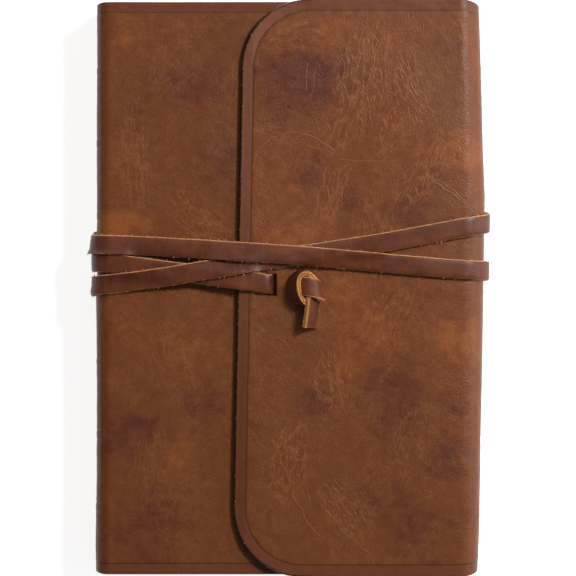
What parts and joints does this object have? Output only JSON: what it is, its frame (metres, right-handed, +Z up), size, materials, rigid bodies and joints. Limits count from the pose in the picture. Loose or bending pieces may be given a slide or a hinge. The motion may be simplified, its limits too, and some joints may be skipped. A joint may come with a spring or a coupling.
{
  "type": "leather notebook cover",
  "caption": "Wrap-around leather notebook cover with a fold-over flap, a knotted leather strap wound round it and a sewn refill notebook inside",
  "frame": {"origin": "under the middle of the closed, tied book, on the surface that it lies on", "axes": "+X from the spine to the fore edge, +Y from the tail to the head, +Z up out of the front cover"},
  "size_m": [0.1596, 0.226, 0.0416],
  "materials": {
    "hide": "satin",
    "strap": "satin",
    "lining": "matte",
    "refill_card": "matte",
    "paper": "matte",
    "spine_cloth": "matte"
  },
  "bodies": {
    "root": {"back_cover_leather": "hide", "back_lining": "lining", "back_sleeve": "lining", "refill_back_cover": "refill_card", "refill_spine_cloth": "spine_cloth", "signature_1": "paper", "signature_2": "paper", "signature_3": "paper", "signature_4": "paper", "signature_5": "paper", "signature_6": "paper", "strap_back_1": "strap", "strap_back_2": "strap", "strap_free_end": "strap"},
    "spine": {"spine_leather": "hide", "spine_lining": "lining", "refill_spine_cover": "refill_card", "spine_band_1": "lining", "spine_band_2": "lining", "spine_band_3": "lining", "spine_band_4": "lining", "spine_band_5": "lining", "spine_band_6": "lining", "spine_band_7": "lining", "strap_spine_turn_1": "strap", "strap_spine_turn_2": "strap", "strap_spine_turn_3": "strap"},
    "front_cover": {"front_cover_leather": "hide", "front_lining": "lining", "front_sleeve": "lining", "refill_front_cover": "refill_card"},
    "fore_edge": {"fore_edge_leather": "hide", "fore_edge_lining": "lining", "strap_fore_turn_1": "strap", "strap_fore_turn_2": "strap"},
    "flap": {"flap_leather": "hide", "flap_lining": "lining", "strap_front_1": "strap", "strap_front_2": "strap", "strap_front_3": "strap", "strap_anchor": "strap", "strap_knot": "strap", "strap_tail": "strap"}
  },
  "joints": [
    {"name": "fore_edge_fold", "type": "hinge", "parent": "root", "child": "fore_edge", "pos_m": [0.07475, 0, 0.0047], "axis": [0, 1, 0], "range_deg": [0, 90], "deforming": ["fore_edge_leather", "flap_leather", "flap_lining", "strap_front_1", "strap_front_2", "strap_front_3", "strap_fore_turn_1", "strap_fore_turn_2", "strap_back_1", "strap_back_2", "strap_free_end", "strap_anchor", "strap_knot", "strap_tail"]},
    {"name": "flap_fold", "type": "hinge", "parent": "fore_edge", "child": "flap", "pos_m": [0.07475, 0, 0.0294], "axis": [0, 1, 0], "range_deg": [0, 90]},
    {"name": "spine_fold", "type": "hinge", "parent": "root", "child": "spine", "pos_m": [-0.07225, 0, 0.0047], "axis": [0, -1, 0], "range_deg": [0, 45], "deforming": ["spine_leather", "strap_spine_turn_1", "strap_spine_turn_2", "strap_spine_turn_3"]},
    {"name": "cover_fold", "type": "hinge", "parent": "spine", "child": "front_cover", "pos_m": [-0.07325, 0, 0.027], "axis": [0, -1, 0], "range_deg": [0, 142]}
  ],
  "couplings": [
    {"joint": "flap_fold", "follows": "fore_edge_fold", "ratio": 1},
    {"joint": "spine_fold", "follows": "fore_edge_fold", "ratio": 0.5},
    {"joint": "cover_fold", "follows": "fore_edge_fold", "ratio": 1.5777}
  ]
}
